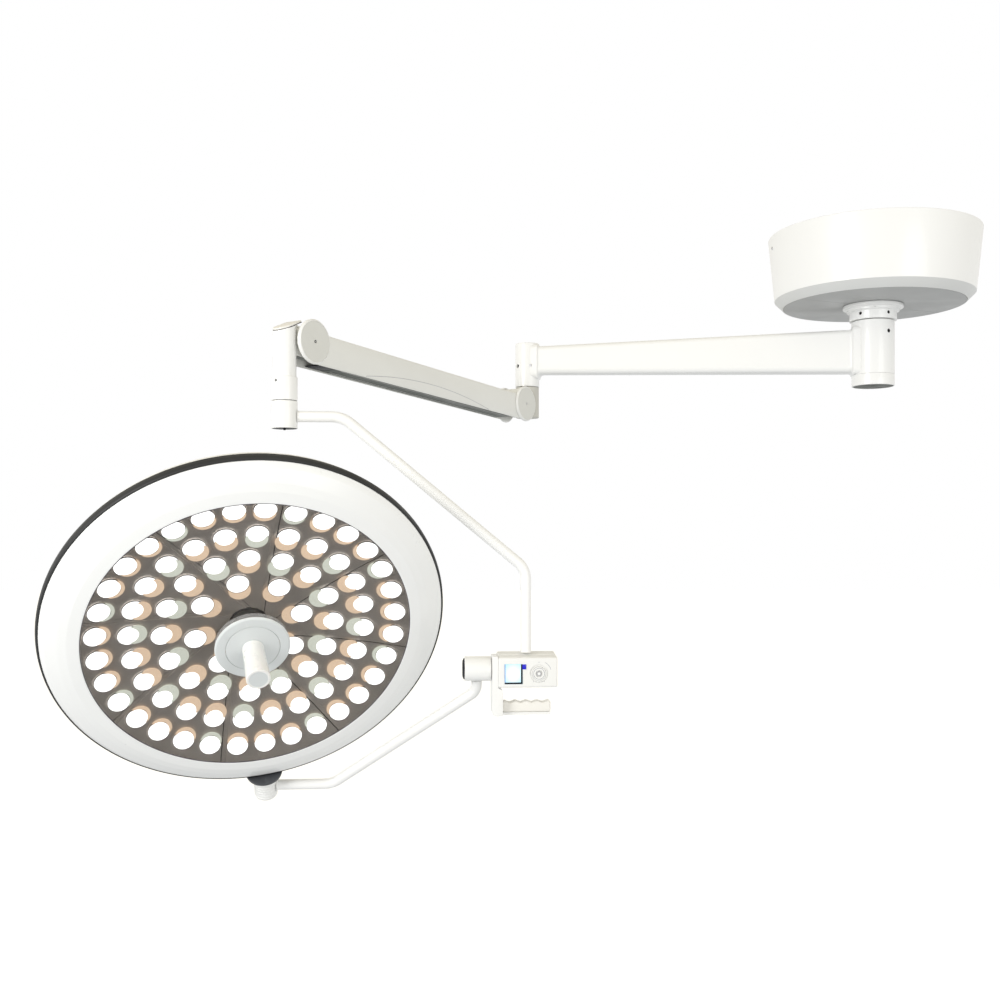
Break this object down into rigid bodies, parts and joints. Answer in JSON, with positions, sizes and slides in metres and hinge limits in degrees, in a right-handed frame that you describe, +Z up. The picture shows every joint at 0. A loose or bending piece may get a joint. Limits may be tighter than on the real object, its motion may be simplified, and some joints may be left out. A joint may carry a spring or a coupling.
{
  "type": "operating light",
  "caption": "Ceiling-mounted operating light: canopy, swivelling beam, sprung parallelogram arm, bent-tube yoke with keypad box, and a tilting LED dome with a pull-off handle.",
  "frame": {"origin": "centre of the ceiling plate's top face, on the axis of the ceiling spindle", "axes": "+Z up, out of the plate towards the ceiling; the drop tube hangs along -Z; at rest the long arm points mostly towards -X and the lamp faces -Y and down"},
  "size_m": [1.8583, 1.0276, 1.1979],
  "materials": {
    "white_enamel": "gloss",
    "white_moulding": "gloss",
    "cream_moulding": "satin",
    "grey_moulding": "satin",
    "knuckle_enamel": "satin",
    "steel": "satin",
    "bare_aluminium": "satin",
    "dark_rubber": "satin",
    "dark_plastic": "satin",
    "smoked_lens": "gloss",
    "clear_acrylic": "gloss",
    "screen_glass": "gloss",
    "circuit_board": "matte"
  },
  "bodies": {
    "ceiling_mount": {"ceiling_plate": "steel", "canopy_shell": "white_moulding", "canopy_floor_front": "cream_moulding", "canopy_floor_back": "cream_moulding", "power_supply": "bare_aluminium", "drop_flange": "white_enamel", "spindle": "steel"},
    "horizontal_arm": {"arm_casting": "white_enamel", "hub_end_cap": "white_enamel", "upper_bearing": "steel", "lower_bearing": "steel", "brake_screw": "steel", "end_screw_left": "steel", "end_screw_right": "steel"},
    "knuckle": {"knuckle_spindle": "steel", "knuckle_block": "knuckle_enamel", "knuckle_pin": "steel"},
    "spring_arm": {"arm_cover_left": "cream_moulding", "arm_cover_right": "cream_moulding", "arm_channel": "steel", "lift_spring": "steel", "near_disc_left": "grey_moulding", "near_disc_right": "grey_moulding", "far_disc_left": "grey_moulding", "far_disc_right": "grey_moulding"},
    "level_rod": {"level_rod": "steel"},
    "head_bracket": {"bracket_column": "white_enamel", "bracket_top_cover": "cream_moulding", "bracket_pin": "steel", "swivel_collar": "white_enamel", "swivel_spindle": "steel"},
    "upper_yoke": {"swivel_sleeve": "white_enamel", "sleeve_cap": "dark_plastic", "upper_yoke_tube": "white_enamel", "box_back": "white_moulding", "box_front": "white_moulding", "display_screen": "screen_glass", "control_board": "circuit_board", "handle_bracket": "white_enamel", "finger_grip": "cream_moulding", "hinge_shaft": "steel"},
    "power_button": {"power_button": "grey_moulding"},
    "key_up": {"key_up": "cream_moulding"},
    "key_down": {"key_down": "cream_moulding"},
    "key_left": {"key_left": "cream_moulding"},
    "key_right": {"key_right": "cream_moulding"},
    "lower_yoke": {"hinge_barrel": "white_enamel", "barrel_cap": "dark_plastic", "lower_yoke_tube": "white_enamel", "boot_socket": "white_enamel"},
    "lamp_head": {"head_boot": "dark_rubber", "rear_housing": "white_enamel", "rim_band": "dark_rubber", "front_ring": "white_moulding", "lens_plate": "smoked_lens", "led_carrier": "bare_aluminium", "hub_collar": "clear_acrylic", "centre_hub": "white_moulding"},
    "focus_socket": {"focus_socket": "white_moulding"},
    "sterile_handle": {"sterile_handle": "white_moulding"}
  },
  "joints": [
    {"name": "arm_swivel", "type": "hinge", "parent": "ceiling_mount", "child": "horizontal_arm", "pos_m": [0, 0, 0], "axis": [0, 0, 1], "range_deg": [-165, 165]},
    {"name": "knuckle_swivel", "type": "hinge", "parent": "horizontal_arm", "child": "knuckle", "pos_m": [-0.78281, 0.16496, 0], "axis": [0, 0, 1], "range_deg": [-218, 81]},
    {"name": "arm_lift", "type": "hinge", "parent": "knuckle", "child": "spring_arm", "pos_m": [-0.81266, 0.1202, -0.372], "axis": [-0.832, 0.5548, 0], "range_deg": [-48.6, 16.4]},
    {"name": "rod_swing", "type": "hinge", "parent": "knuckle", "child": "level_rod", "pos_m": [-0.81266, 0.1202, -0.392], "axis": [-0.832, 0.5548, 0], "range_deg": [-48.6, 16.4]},
    {"name": "bracket_level", "type": "hinge", "parent": "spring_arm", "child": "head_bracket", "pos_m": [-1.21357, -0.48094, -0.32654], "axis": [-0.832, 0.5548, 0], "range_deg": [-16.4, 48.6]},
    {"name": "yoke_swivel", "type": "hinge", "parent": "head_bracket", "child": "upper_yoke", "pos_m": [-1.23954, -0.51988, -0.32654], "axis": [0, 0, 1], "range_deg": [-170, 170]},
    {"name": "yoke_tilt", "type": "hinge", "parent": "upper_yoke", "child": "lower_yoke", "pos_m": [-1.29438, -0.524, -0.92604], "axis": [0.9972, 0.075, 0], "range_deg": [-23, 130]},
    {"name": "head_turn", "type": "hinge", "parent": "lower_yoke", "child": "lamp_head", "pos_m": [-1.29046, -0.57615, -0.84613], "axis": [0.0411, -0.546, 0.8368], "range_deg": [-163, 137]},
    {"name": "focus_turn", "type": "hinge", "parent": "lamp_head", "child": "focus_socket", "pos_m": [-1.29046, -0.57615, -0.84613], "axis": [0.2854, -0.7962, -0.5335], "range_deg": [-60, 60]},
    {"name": "handle_release", "type": "slide", "parent": "focus_socket", "child": "sterile_handle", "axis": [0.2854, -0.7962, -0.5335], "range_m": [0, 0.085]},
    {"name": "power_button_press", "type": "slide", "parent": "upper_yoke", "child": "power_button", "axis": [-0.075, 0.9972, 0], "range_m": [0, 0.0008], "stiffness_N_per_m": 1500},
    {"name": "key_up_press", "type": "slide", "parent": "upper_yoke", "child": "key_up", "axis": [-0.075, 0.9972, 0], "range_m": [0, 0.0008], "stiffness_N_per_m": 1500},
    {"name": "key_down_press", "type": "slide", "parent": "upper_yoke", "child": "key_down", "axis": [-0.075, 0.9972, 0], "range_m": [0, 0.0008], "stiffness_N_per_m": 1500},
    {"name": "key_left_press", "type": "slide", "parent": "upper_yoke", "child": "key_left", "axis": [-0.075, 0.9972, 0], "range_m": [0, 0.0008], "stiffness_N_per_m": 1500},
    {"name": "key_right_press", "type": "slide", "parent": "upper_yoke", "child": "key_right", "axis": [-0.075, 0.9972, 0], "range_m": [0, 0.0008], "stiffness_N_per_m": 1500}
  ],
  "couplings": [
    {"joint": "rod_swing", "follows": "arm_lift", "ratio": 1},
    {"joint": "bracket_level", "follows": "arm_lift", "ratio": -1}
  ]
}
